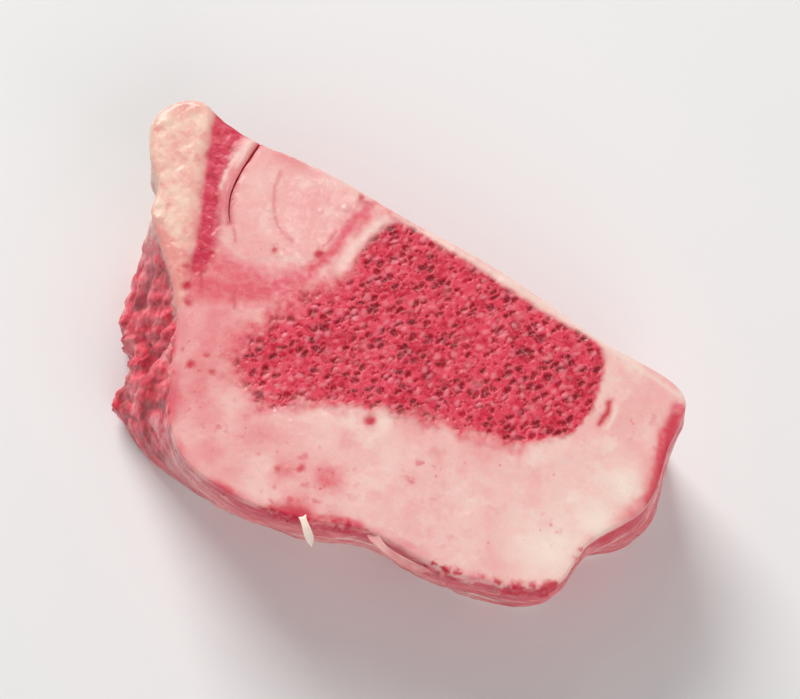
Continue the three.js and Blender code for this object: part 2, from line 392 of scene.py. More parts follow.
ROSY_BANDS = [  # path, half width, strength
    ([(-34, -9), (-28, -7), (-22, -4.5), (-17.6, -0.5)], 3.6, 1),
    ([(-31, -3.5), (-22, -3), (-16, -2.5)], 3.4, 0.9),
    ([(-16.6, 0.5), (-14.8, 5), (-14.4, 10.5), (-14, 14.6), (-12.4, 18.2)], 1.5, 1),
    ([(-26, -10), (-24, -17.5), (-22, -24)], 2.6, 0.5),
    ([(-9.4, 5.2), (-13, -0.6), (-17.5, -6.5)], 2.6, 0.8),
    ([(-38.6, 21), (-38.2, 16.2), (-37.4, 11.8), (-35.2, 7), (-32.8, 2.2), (-31, -2.6)], 1.2, 0.6),
    ([(49.4, 10), (50.1, 4), (51.2, -3), (51, -8.5), (48.6, -13)], 1.3, 0.95),
]
PINK_SPOTS = [  # fainter than the rosy ones
    (-21, -23, 8, 1), (-8, -25, 6, 0.6), (2, -29, 6, 0.7), (17, -19.5, 6, 0.6), (-28, -16, 10, 1),
    (-14, -30, 6, 0.7), (46, 8, 4, 0.5), (22, -25, 5, 0.3), (-21.7, 14.6, 2.4, 0.8), (-36.4, 12, 2, 0.9),
    (-35, 6, 2, 0.9), (50, -1, 3, 0.4), (-33, 20, 3, 0.3), (35, -26.5, 4, 0.5), (-10.5, -34, 3.4, 0.8),
    (44.5, 9.5, 3, 0.5), (31, -13, 3.5, 0.5), (-18.5, 9.5, 3, 0.5), (-30.2, 4, 3, 0.6), (-29, 20, 2.6, 0.9),
    (-18, -32, 3, 0.7),
]
PALE_SPOTS = [  # the lightest parts of the cut
    (41.6, -21.2, 5.5, 0.95), (47.2, -6, 3.8, 0.95), (46, -13.4, 4.4, 0.95), (3.1, -16.9, 1.3, 0.6),
    (8.3, -14.7, 1.8, 0.7), (11.5, -18.6, 4, 0.4), (-14.6, 20, 2, 0.5), (-16.6, -22.6, 2.6, 0.4),
    (-31, 13, 2.4, 0.3), (45.5, -18, 4, 0.7), (-21.6, 18.9, 1.6, 0.35), (-25, 17, 1.6, 0.25),
]
FLECKED = [  # where small torn flecks of red lie
    (3, -28.5, 5, 1), (18, -19.2, 4, 0.8), (39.8, -18, 2.6, 0.7), (-18, -27, 4.5, 0.7), (-9, -28, 4, 0.5),
    (-26, -21, 5.5, 0.8), (-14.5, 19.2, 2.6, 0.9), (-33, -8, 4, 0.8), (0, -34.5, 4, 0.8), (-24, 4, 3, 0.5),
    (45, 7, 3, 0.4), (28, -26, 5, 0.3),
]
RED_LINES = [  # path, half width, strength
    ([(39, 5.8), (39.5, 3.9), (39.2, 1.7)], 0.6, 0.95),
    ([(49.4, 8.6), (50.2, 5), (51.2, 0.3), (51.8, -3.2), (51.8, -6.5)], 0.9, 0.75),
    ([(-0.8, -35.8), (1.6, -34.8), (4.2, -34.2)], 0.9, 0.8),
    ([(-31.4, 20.2), (-27, 19.8)], 1.3, 0.2),
    ([(-29.1, 16.8), (-28.7, 13.8), (-26.9, 10.2), (-24.6, 7.4), (-21.2, 6.4)], 0.4, 0.42),
    ([(-32.4, -5), (-30.6, -8)], 0.4, 0.6),
    ([(-25.2, -6.2), (-23.9, -8.6)], 0.45, 0.55),
    ([(-31.8, 4.6), (-29.6, 1.9)], 0.3, 0.5),
    ([(-14.4, 18.4), (-12.2, 18.9)], 0.5, 0.5),
    ([(-15.5, 11.5), (-15.8, 8.6), (-16.2, 6.2)], 0.3, 0.5),
]
CORE_STREAK = ([(-9, 17.6), (-10.6, 14), (-11.3, 9.7), (-11.4, 5.2)], 1.1, 0.45)
PALE_AND_HIGHLIGHT_LINES = [
    CORE_STREAK,
    # Painted highlight: a pale streak of light along the left lip of the slit.
    ([(-36.3, 20.6), (-37.2, 16.4), (-37.4, 12.6), (-36.8, 9.6)], 0.45, 0.5),
    ([(-25, 20.2), (-15, 19.8)], 0.5, 0.35),
    ([(40.4, 5.7), (40.9, 3.8), (40.5, 1.5)], 0.4, 0.65),
    ([(-8, 18.9), (6, 18), (21, 16.5), (32, 14.7), (41, 13.5), (48.5, 12.2)], 0.5, 0.5),
]
WET_BEADS = [  # raised drops that catch the light: x, y, radius, height
    (-16, 16, 0.7, 0.22), (-43.2, -0.6, 0.8, 0.2), (-51.2, 15.8, 1.1, 0.18), (-2.4, -29, 0.5, 0.14),
    (-19.5, 13.6, 0.45, 0.12), (44.6, 2, 0.5, 0.12), (-29.6, -13.2, 0.5, 0.12), (9, -24.6, 0.4, 0.1),
    (27.4, -22, 0.4, 0.1),
]
EDGE_BITS = [  # shreds of meat along the front edge of the upper cut: x, y, radius, strength
    (-0.6, -36.2, 1.8, 1), (1.8, -35.7, 2, 1), (4.6, -35.1, 1.4, 0.8), (7.4, -34.4, 1, 0.6),
    (9.2, -33.9, 1.7, 0.9), (11.6, -33.1, 1.5, 0.8), (15.2, -32.4, 0.8, 0.6), (27.9, -32.2, 1, 0.9),
    (30, -31.8, 0.6, 0.8), (33, -31.3, 0.8, 0.5), (37.4, -30, 1.4, 1), (39.2, -29.2, 1.9, 1),
    (41.6, -28.1, 1, 0.8), (43.6, -27, 1.5, 1), (-9.6, -36.9, 0.6, 0.5), (21.6, -32.6, 0.6, 0.4),
    (46.4, -20.6, 0.8, 0.5),
]
RAGGED = (1.1, 1.9, 77)  # reach, size and seed of the wandering that tears the edge bits' relief
CORE_KNOTS = [  # light knots of bone: x, y, radius, strength
    (5.6, 7.3, 0.7, 0.9), (15, 11.1, 0.7, 0.9), (19.4, 12.4, 0.8, 0.8), (15.4, 0.6, 0.7, 0.9),
    (18.3, -1.9, 0.9, 0.8), (28.2, -1.1, 0.8, 0.9), (30.1, 12.1, 0.7, 0.8), (6.4, 10.2, 0.6, 0.7),
    (12.6, 6.6, 0.6, 0.7), (-1.2, -4.6, 0.7, 0.7), (-6.2, -8.4, 0.7, 0.7), (-9.6, -12, 0.6, 0.6),
]
CORE_PITS = [  # the deepest pores
    (11.7, -1, 0.9, 1), (10.4, -4.3, 0.9, 1), (24.1, 10.1, 0.8, 1), (23.1, -1, 0.8, 0.9),
    (25.2, 1.2, 0.9, 0.9), (-6, 13.6, 0.9, 0.9), (-4.4, 12, 0.7, 0.8), (-3, -1.4, 0.7, 0.8),
]


def shift(points, size, seed, octaves=3):
    """Two smooth noises at each point, to move its place on the drawing by."""
    return np.stack([noise(points, size, seed + k, octaves) for k in range(2)], 1)


def wandering(xy, reach=0.9, size=3.2, seed=71):
    """The same places moved a little, so that what is drawn with them gets a natural edge."""
    return xy + reach * shift(at_height(xy, 0.0), size, seed)


def spots(xy, listed, falloff=1.0, power=2):
    """The strongest of a list of round spots. A higher power gives them crisper edges."""
    most = np.zeros(len(xy))
    for x, y, radius, strength in listed:
        d = np.hypot(xy[:, 0] - x, xy[:, 1] - y) / radius
        most = np.maximum(most, strength * np.exp(-(d ** power) * falloff))
    return most


def lines(xy, listed):
    """The strongest of a list of soft lines."""
    most = np.zeros(len(xy))
    for path, half_width, strength in listed:
        bent = resample_open(path, 12, 2) if len(path) > 2 else path
        most = np.maximum(most, strength * np.exp(-(distance_to_path(xy, bent) / half_width) ** 2))
    return most


def on_cut(points):
    """The points' places on the drawing, with the two cuts far apart, so that their patterns differ."""
    return np.column_stack([points[:, :2], np.where(points[:, 2] > THICKNESS / 2, 0.0, 97.0)])


SOFT_EDGES = (  # region, what its share is called, how far it blends each way, and how far it is drawn in
    ("growth_plate", "plate", 0.5, 0.0), ("meat_strip", "meat", 1.0, 0.0), ("fat_edge", "fat", 0.6, 0.0),
    ("side_meat", "side", 0.6, 1.1),
)
PORE, FINE_PORE, KNOT = 1.15, 0.7, 1.1  # sizes of the cells that the spongy bone is made of


def tissues(points):
    """The share of each tissue at each point, and the pattern within it."""
    flat = on_cut(points)
    wander = noise(flat, 2.6, seed=1, octaves=3)
    shares = {}
    # The core fades into its surroundings at its left end, less so at the front, and ends crisply elsewhere
    upper = regions["spongy_core"].at_upper_cut(points)
    left, back = rise(0, -14, upper[:, 0]), rise(6, 11, upper[:, 1])
    corner = nearness(upper, BACK_CORNER)
    fading = np.maximum(left, 0.6 * rise(-4, -9, upper[:, 1]))
    edge = regions["spongy_core"].field(upper) + wander * (0.8 + 1.4 * fading - 0.5 * back)
    edge += 0.1 - 2.0 * left - 0.8 * back - 1.3 * corner
    shares["marrow"] = rise(0.35 + 2.2 * fading, -0.9 - 2.4 * fading, edge)
    shares["marrow"] *= 1 - np.minimum(1, 1.5 * lines(points[:, :2], [CORE_STREAK]))
    # Spongy bone: dark pores, light knots and thin walls, drawn out towards the lower right
    warped = flat.copy()
    warped[:, :2] += 0.5 * shift(flat, 2.2, seed=11, octaves=1)
    x, y = warped[:, 0], warped[:, 1]
    turned = np.column_stack([0.8 * x - 0.45 * y, 0.72 * (0.45 * x + 0.8 * y), flat[:, 2]])
    near, border, own = cells(turned, PORE, seed=21)
    fine_near, fine_border, fine_own = cells(warped, FINE_PORE, seed=22)
    knot_near, _, knot_own = cells(turned, KNOT, seed=23)
    pores = rise(1.0, 0.4, near / (0.2 + 0.42 * own)) * rise(0.3, 0.7, own)
    fine_pores = rise(1.0, 0.4, fine_near / (0.25 + 0.35 * fine_own)) * rise(0.45, 0.95, fine_own)
    knots = np.maximum(rise(0.5, 0.15, knot_near) * rise(0.5, 0.9, knot_own), spots(warped, CORE_KNOTS))
    hollow = np.maximum(0.85 * pores + 0.5 * fine_pores + 0.12 * wander, spots(warped, CORE_PITS))
    shares["hollow"] = np.clip(hollow * (1 - 0.7 * knots), 0, 1) * rise(0.45, 0.95, shares["marrow"])
    walls = rise(0.2, 0.02, border) * rise(0.35, 0.8, own)
    fine_walls = rise(0.2, 0.02, fine_border) * rise(0.6, 0.9, fine_own)
    shares["bony"] = np.maximum(knots, 0.6 * np.maximum(walls, fine_walls))
    for name, share, soft, inset in SOFT_EDGES:
        shares[share] = rise(soft, -soft, regions[name].distance(points) + 0.4 * wander + inset)
    shares["meat"] *= 1 - shares["plate"]
    shares["fat"] *= 1 - shares["meat"]
    shares["side"] *= 1 - shares["fat"]
    return shares


def cut_height(points, shares=None):
    """How far the sawn surface stands above the flat cut, or below it where the value is negative."""
    shares = shares or tissues(points)
    flat = on_cut(points)
    xy = points[:, :2]
    height = 0.13 * noise(flat, 11.0, seed=41, octaves=2) + 0.035 * noise(flat, 1.8, seed=42, octaves=3)
    height += rise(0.45, 0.95, shares["marrow"]) * 0.05 * shares["bony"] - 0.3 * shares["hollow"]
    uneven = 0.07 * noise(flat, 1.5, seed=43, octaves=2) + 0.16 * noise(flat, 3.0, seed=44)
    height += (shares["meat"] + shares["side"]) * uneven - 0.15 * shares["meat"]
    _, border, own = cells(flat + 1.1 * noise(flat, 3.0, seed=46, octaves=2)[:, None], 3.6, seed=45)
    lobules = rise(0, 0.5, border) * (0.5 + 0.5 * own) + 0.5 * noise(flat, 2.2, seed=47, octaves=3)
    height += shares["fat"] * (0.3 * rise(0, -3, regions["fat_edge"].distance(points)) + 0.1 * lobules)
    height -= 0.08 * spots(xy, BLOOD_DOTS, 2.0) + 0.03 * lines(xy, RED_LINES)
    height += 0.06 * lines(xy, PALE_AND_HIGHLIGHT_LINES) + spots(xy, WET_BEADS, 1.5)
    height -= 0.14 * np.exp(-(distance_to_path(xy, SLIT_PATH) / 0.8) ** 2)
    return height


def torn_folds(points):
    """How high each point stands in the folds of torn meat, from 0 to about 1, and a slow change of tone."""
    along, up = points[:, :2] @ TORN_ALONG, points[:, 2]
    flat = np.column_stack([along + 0.3 * up, 0.5 * up - 0.15 * along, np.zeros(len(points))])
    flat[:, :2] += 0.9 * shift(flat, 3.5, seed=81, octaves=2)
    broad, narrow = (np.abs(noise(flat, size, 83, octaves)) for size, octaves in ((4.6, 1), (1.9, 2)))
    height = np.clip(1.7 * broad, 0, 1) ** 0.75 * (0.72 + 0.5 * np.clip(1.6 * narrow, 0, 1) ** 0.8)
    return height, noise(flat, 5.5, seed=86, octaves=2)


def unevenness(points, size):
    """The broad lumps that the solids have too."""
    a, b, c = (points / size).T
    broad = np.sin(1.9 * a + 2.3 * b + 0.7) * np.cos(1.6 * c - 1.1 * a + 1.3)
    fine = np.sin(3.7 * b - 2.9 * a + 4.1) * np.cos(3.1 * c + 2.2 * b + 0.4)
    return 0.65 * broad + 0.35 * fine


# ---- The whole piece's surface ----
COARSER = 1.0
COLUMNS = int(740 / COARSER)
WALL_ROWS = int(60 / COARSER)
ARC_STEPS = 5
COARSE = 2.2  # spacing of a cut's points where another piece shows
GRID_X, GRID_Y, ROW_STEP = (-60, 60), (-46, 28), 0.866  # the cuts' points lie in triangles, jittered
EDGE_RADIUS, SOFTER = 0.45, 1.0  # radius of the cuts' edges, and what fat and torn meat add to it


def wall_rings():
    """The outer wall as rows of points, lowest first, with both cuts' edges rounded."""
    outline = closed_curve(CUT_OUTLINE, COLUMNS)
    exact, mild, broad = (outward_normals(outline, sigma) for sigma in (1.5, 4, 16))
    torn = nearness(outline, TORN_SIDE)
    soft = np.maximum(nearness(outline, FAT_CORNER), 0.6 * torn)
    radius = EDGE_RADIUS + SOFTER * soft
    arc = np.linspace(0, math.pi / 2, ARC_STEPS)
    rim = [(radius * (1 - math.sin(t)), radius * (1 - math.cos(t))) for t in arc]  # inward, height
    upright = np.arange(1, WALL_ROWS) / WALL_ROWS
    rows = rim + [(0 * radius, radius + (THICKNESS - 2 * radius) * share) for share in upright]
    rows += [(inward, THICKNESS - z) for inward, z in rim[::-1]]
    rings = []
    for inward, z in rows:
        up = z / THICKNESS
        away = np.minimum(1, np.minimum(z, THICKNESS - z) / 3)
        foot, belly = smooth(1 - up), np.sin(math.pi * up)
        lean = sum(nearness(outline, s) * (s["foot"] * foot + s["belly"] * belly) for s in SIDES)
        place = np.column_stack([outline, z])
        lumps = 0.55 * (1 - torn) * unevenness(place, 9) + 1.1 * torn * unevenness(place, 3.4)
        xy = outline - exact * inward[:, None] + broad * lean[:, None] + mild * (away * lumps)[:, None]
        moved = np.column_stack([xy, z])
        detail = 0.26 * noise(moved, (5, 5, 3.5), seed=51, octaves=3)
        detail += 0.14 * noise(moved, (3.5, 3.5, 1.1), seed=52, octaves=3)
        folds, _ = torn_folds(moved)
        clinging = 0.7 * noise(moved, (4.2, 4.2, 5.0), seed=53, octaves=3) + 1.9 * folds - 0.9
        near_rim = np.exp(-((THICKNESS - 1.6 - z) / 1.5) ** 2)
        bits = spots(wandering(moved[:, :2], *RAGGED), EDGE_BITS) * near_rim
        bits *= np.clip(0.35 + 0.9 * noise(moved, 0.9, seed=55, octaves=2), 0, 1)
        xy = xy + mild * (np.minimum(1, 0.25 + away) * (detail + torn * clinging * away) + bits)[:, None]
        rings.append(np.column_stack([xy, z]))
    return rings


def inner_points(ring, spacing, fine_where):
    """Points inside a ring, spaced finely where the tissue is and coarsely elsewhere."""
    field = distance_field(ring[::3, :2], pitch=0.5)
    rng = np.random.default_rng(7)
    found = []
    for step, wanted in ((spacing, True), (COARSE, False)):
        x, y = np.meshgrid(np.arange(*GRID_X, step), np.arange(*GRID_Y, step * ROW_STEP))
        x = x + (np.arange(len(y)) % 2)[:, None] * step / 2
        xy = np.stack([x.ravel(), y.ravel()], 1) + rng.normal(0, 0.12 * step, (x.size, 2))
        points = at_height(xy[field(xy) < -0.6 * step], ring[0, 2])
        found.append(points[fine_where(points) == wanted])
    return np.vstack(found)


RINGS = wall_rings()
outer_edge = distance_field(RINGS[0][::3, :2])
upper_edge = distance_field(RINGS[-1][::3, :2])


def lift(points):
    """How far up each point of the plain body moves for the cuts' relief, which fades away from them."""
    to_top, to_bottom = THICKNESS - points[:, 2], points[:, 2]
    close = np.minimum(to_top, to_bottom) < 7
    height = np.zeros(len(points))
    height[close] = cut_height(points[close])
    # The lower cut's rim rests on the floor
    lower = (0.25 + 0.5 * np.abs(height)) * rise(0, -1.5, outer_edge(points[:, :2]))
    return np.where(to_top < to_bottom, height * np.exp(-to_top / 1.5), lower * np.exp(-to_bottom / 1.5))


WALL_LIFT = lift(np.vstack(RINGS))


def whole_piece(spacing, lower_spacing, fine_where):
    """The piece's whole surface, fine where fine_where says so, with the cuts' relief."""
    upper = inner_points(RINGS[-1], spacing * COARSER, fine_where)
    lower = inner_points(RINGS[0], lower_spacing * COARSER, fine_where)
    vertices, tris = loft(RINGS, upper, lower)
    vertices[:, 2] += np.concatenate([WALL_LIFT, lift(vertices[len(WALL_LIFT):])])
    return vertices, tris


def slit_cutter():
    """A narrow body along the slit, wedge-shaped across and thinner to its inner end."""
    path = resample_open(SLIT_PATH, 40)
    along = np.gradient(path, axis=0)
    across = np.stack([along[:, 1], -along[:, 0]], 1) / np.linalg.norm(along, axis=1)[:, None]
    at = np.linspace(0, 1, len(path))
    place = at_height(path, 0.0)
    width = SLIT_WIDTH * (1 - 0.85 * at ** 1.6) * (1 + 0.35 * noise(place, 2.5, seed=61, octaves=2))
    path = path + across * (0.25 * noise(place, 3.0, seed=62))[:, None]
    rings = []
    for down, share in ((SLIT_DEPTH, 0.1), (0.6 * SLIT_DEPTH, 0.5), (0.4, 0.85), (-OVERSHOOT, 1.15)):
        half = across * (width * share / 2)[:, None]
        rings.append(at_height(np.vstack([path + half, (path - half)[::-1]]), THICKNESS - down))
    return loft(rings)


# ---- Colour masks ----
def store(obj, name, values):
    """Gives each point of a piece a number, under a name that its material reads."""
    held = obj.data.attributes
    target = held[name] if name in held else held.new(name, "FLOAT", "POINT")
    target.data.foreach_set("value", np.broadcast_to(values, len(obj.data.vertices)).astype(np.float32))


def mark(obj):
    """Writes what each point of a piece is, for its material to read."""
    points = points_of(obj)
    xy = points[:, :2]
    moved, thin = wandering(xy), wandering(xy, 0.3, 1.3, 75)
    shares = tissues(points)
    below = THICKNESS + cut_height(points, shares) - points[:, 2]
    wall = rise(0.35, 1.5, np.minimum(below, points[:, 2]))
    cut = 1 - wall
    on_top = points[:, 2] > THICKNESS / 2
    upper = np.where(on_top, 1.0, 0.5)
    slit_distance = distance_to_path(xy, SLIT_PATH)
    in_slit = rise(0.95, 0.6, slit_distance) * rise(0.25, 0.8, below)
    in_slit *= rise(SLIT_DEPTH + 0.8, SLIT_DEPTH, below) * on_top
    right_end = rise(44, 48, xy[:, 0]) * rise(13, 9, xy[:, 1]) * rise(-19, -15, xy[:, 1])
    ragged = xy + 2.2 * shift(points, 2.4, seed=101)
    torn_bits = spots(ragged, EDGE_BITS) + 0.3 * noise(points, 1.1, seed=97, octaves=3)
    torn_bits *= rise(5.5, 0.5, below + 1.8 * noise(points, 1.8, seed=99, octaves=2))
    bits = rise(0.15, 0.75, torn_bits) * rise(1.5, -0.4, -upper_edge(xy))
    band = right_end * rise(0.6, 1.6, below)
    band *= rise(6.5, 4.5, below + 2.0 * noise(points, 4.0, seed=98, octaves=2))
    flecks = rise(0.34, 0.62, noise(on_cut(points), 1.7, seed=91, octaves=3))
    blood = np.maximum(spots(thin, BLOOD_DOTS, 1.0, 3), lines(thin, RED_LINES))
    blood = np.maximum(blood, 0.75 * np.exp(-(slit_distance / 0.75) ** 2))
    folds, tone = torn_folds(points)
    edge = rise(1.3, 0.0, -upper_edge(xy)) * rise(12, 4, xy[:, 1]) * rise(-34, -20, xy[:, 0])
    broken = rise(-0.25, 0.45, noise(on_cut(points), 6.0, seed=93, octaves=2))
    marks = {
        **shares,
        "marrow": shares["marrow"] * cut,
        "red": np.maximum(bits, 0.8 * band),
        "inside_fat": rise(0.4, -3.5, regions["fat_edge"].distance(points)) * rise(-9, 1, xy[:, 1]),
        "rosy": np.clip(np.maximum(spots(moved, ROSY_SPOTS), lines(moved, ROSY_BANDS)), 0, 1) * cut,
        "pink": np.clip(spots(moved, PINK_SPOTS), 0, 1) * cut,
        "fleck": flecks * spots(moved, FLECKED) * cut * upper,
        "blood": np.clip(blood, 0, 1) * upper * cut,
        # Pale tissue, and among the pale lines the painted highlight along the slit's left lip.
        "pale": np.maximum(lines(thin, PALE_AND_HIGHLIGHT_LINES), spots(moved, PALE_SPOTS)) * cut * upper,
        "in_slit": in_slit,
        "wall": wall * (1 - in_slit),
        "fringe": rise(7.5, 0.5, below) * np.maximum(rise(-10, -20, xy[:, 1]), right_end) * wall,
        # Painted shade: the low places between the torn meat's folds, in some places, are marked to be
        # darkened.
        "crevice_shade": rise(0.3, 0.02, folds) * rise(-0.4, 0.2, noise(points, 3.0, seed=95, octaves=2)),
        # The torn meat's tone: a slow random change, and besides it painted shade, lighter on the folds' tops
        # and darker low down.
        "fold_tone_and_shade": np.clip(0.5 + 0.7 * tone + 0.35 * (folds - 0.5), 0, 1),
        "torn": np.clip(1.6 * nearness(xy, TORN_SIDE), 0, 1) * wall,
        "edge": edge * (1 - shares["fat"]) * (0.25 + 0.75 * broken),
    }
    for name, values in marks.items():
        store(obj, name, values)


# ---- Materials ----
def srgb(r, g, b):
    """Linear colour from the usual 0 to 255 values."""
    shares = (c / 255 for c in (r, g, b))
    return tuple(c / 12.92 if c <= 0.04045 else ((c + 0.055) / 1.055) ** 2.4 for c in shares) + (1.0,)


def stops(*listed):
    """A colour ramp's stops, from a place and 0 to 255 values each."""
    return [(at, srgb(*colour)) for at, *colour in listed]


class Graph:
    """Short ways to build one material's nodes."""

    def __init__(self, name):
        self.material = bpy.data.materials.new(name)
        self.material.use_nodes = True
        self.nodes, self.links = self.material.node_tree.nodes, self.material.node_tree.links
        self.nodes.clear()
        self.place = self.node("ShaderNodeTexCoord").outputs["Object"]

    def node(self, kind, values=(), **settings):
        """A new node. values are links or constants for its inputs, by name or number."""
        made = self.nodes.new(kind)
        for key, value in settings.items():
            setattr(made, key, value)
        for key, value in dict(values).items():
            if hasattr(value, "links"):
                self.links.new(value, made.inputs[key])
            else:
                made.inputs[key].default_value = value
        return made

    def read(self, name):
        return self.node("ShaderNodeAttribute", attribute_name=name).outputs["Fac"]

    def math(self, operation, a, b, clamp=False):
        return self.node("ShaderNodeMath", {0: a, 1: b}, operation=operation, use_clamp=clamp).outputs[0]

    def span(self, value, low, high, to_low=0.0, to_high=1.0):
        """A value's way from low to high, smoothly turned into the way from to_low to to_high."""
        values = enumerate((value, low, high, to_low, to_high))
        return self.node("ShaderNodeMapRange", values, interpolation_type="SMOOTHSTEP").outputs[0]

    def noise(self, size, detail, stretch=(1, 1, 1), turn=0.0):
        mapping = {"Vector": self.place, "Scale": stretch, "Rotation": (0, 0, turn)}
        place = self.node("ShaderNodeMapping", mapping).outputs[0]
        values = {"Vector": place, "Scale": METRE / size, "Detail": detail, "Roughness": 0.55}
        return self.node("ShaderNodeTexNoise", values).outputs["Fac"]

    def cells(self, size):
        """Distance to the nearest cell's middle, in cell sizes."""
        values = {"Vector": self.place, "Scale": METRE / size}
        return self.node("ShaderNodeTexVoronoi", values).outputs["Distance"]

    def mix(self, share, a, b):
        return self.node("ShaderNodeMix", {0: share, 6: a, 7: b}, data_type="RGBA").outputs[2]

    def patches(self, base, colour, pattern, low, high, most):
        """The base colour with patches of another where a pattern rises from low to high."""
        return self.mix(self.span(pattern, low, high, 0.0, most), base, colour)

    def ramp(self, value, listed):
        made = self.node("ShaderNodeValToRGB", {"Fac": value})
        elements = made.color_ramp.elements
        while len(elements) < len(listed):
            elements.new(0.5)
        for element, (at, colour) in zip(elements, listed):
            element.position, element.color = at, colour
        return made.outputs["Color"]


CREAM = srgb(250, 206, 197)
PINK = srgb(243, 168, 166)
ROSE = srgb(230, 96, 112)
PALE = srgb(254, 230, 216)
BLOOD = srgb(208, 34, 64)
# Painted shade for the creases between the torn meat's folds.
CREVICE_SHADE_RED = srgb(146, 22, 44)
BONY = srgb(240, 148, 158)
PLATE = srgb(242, 170, 166)
SKIN = srgb(240, 142, 148)
FASCIA = srgb(252, 168, 172)
FLECK = srgb(222, 70, 92)
SLIT_RED = srgb(226, 44, 70)
MARROW = stops((0.0, 230, 68, 92), (0.25, 212, 40, 69), (0.55, 188, 20, 49), (1.0, 144, 6, 33))
MEAT = stops((0.2, 180, 28, 54), (0.5, 212, 50, 78), (0.8, 230, 92, 112))
FOLDS = stops((0.05, 180, 20, 45), (0.35, 226, 48, 75), (0.65, 244, 94, 111), (0.95, 252, 150, 154))
FAT = stops((0.25, 240, 158, 150), (0.5, 243, 184, 170), (0.85, 247, 210, 190))
WALL = stops((0.25, 182, 44, 62), (0.45, 226, 92, 104), (0.62, 243, 144, 144), (0.8, 249, 194, 180))


def cartilage_colour(g, middle, small):
    """Cream and pink, mottled, with fine blood vessels and pores."""
    colour = g.patches(CREAM, PINK, g.noise(13, 4), 0.42, 0.62, 0.45)
    colour = g.patches(colour, PINK, middle, 0.48, 0.68, 0.4)
    colour = g.patches(colour, PINK, small, 0.52, 0.72, 0.25)
    colour = g.patches(colour, PALE, g.noise(6, 5), 0.52, 0.68, 0.5)
    colour = g.patches(colour, PALE, g.noise(2.6, 4), 0.55, 0.75, 0.4)
    colour = g.mix(g.math("MULTIPLY", g.read("pink"), g.span(middle, 0.3, 0.6, 0.6, 1.0)), colour, PINK)
    pores = g.span(g.cells(1.7), 0.2, 0.08, 0.0, 0.55)
    pores = g.math("MULTIPLY", pores, g.span(g.noise(5, 2), 0.5, 0.66))
    colour = g.mix(pores, colour, ROSE)
    edge = g.math("MULTIPLY", g.read("edge"), g.span(middle, 0.3, 0.6, 0.3, 1.0))
    return g.mix(edge, colour, ROSE)


def wall_colour(g, middle, small):
    """Membrane over bone, streaked, with clinging meat, smears of fat and silvery skin, and torn meat whose
    folds get painted shade: darker low down and in their creases.
    """
    streaks = g.math("ADD", g.noise(3.0, 6, (0.35, 0.35, 1.1)), g.span(small, 0.3, 0.7, -0.06, 0.06))
    colour = g.ramp(streaks, WALL)
    colour = g.patches(colour, PALE, g.noise(6, 6, (0.35, 0.35, 2.0)), 0.54, 0.7, 0.6)
    colour = g.patches(colour, SKIN, g.noise(9, 3, (0.7, 0.7, 1)), 0.56, 0.7, 0.45)
    meaty = g.math("MULTIPLY", g.span(g.noise(6.5, 6, (0.45, 0.45, 1.2)), 0.53, 0.65), 0.75)
    fringe = g.math("MULTIPLY", g.read("fringe"), g.span(g.noise(2.8, 4), 0.36, 0.56))
    fibres = g.ramp(g.noise(1.6, 4, (0.4, 0.4, 1.1)), MEAT)
    colour = g.mix(g.math("MAXIMUM", meaty, fringe), colour, fibres)
    # The torn meat's tone is random, and lighter high on the folds and darker low in them as painted shade.
    strands = g.span(g.noise(1.5, 5, (1.2, 1.2, 0.35)), 0.3, 0.7, -0.24, 0.24)
    folds = g.math("ADD", g.read("fold_tone_and_shade"), g.math("ADD", strands, g.span(middle, 0.3, 0.7, -0.18, 0.18)))
    torn_colour = g.ramp(folds, FOLDS)
    torn_colour = g.patches(torn_colour, FASCIA, g.noise(5, 5, (1, 1, 0.5)), 0.54, 0.66, 0.4)
    # Painted shade: the creases between the torn meat's folds are darkened to dark red.
    torn_colour = g.mix(g.math("MULTIPLY", g.read("crevice_shade"), 0.85), torn_colour, CREVICE_SHADE_RED)
    return g.mix(g.read("torn"), colour, torn_colour), torn_colour


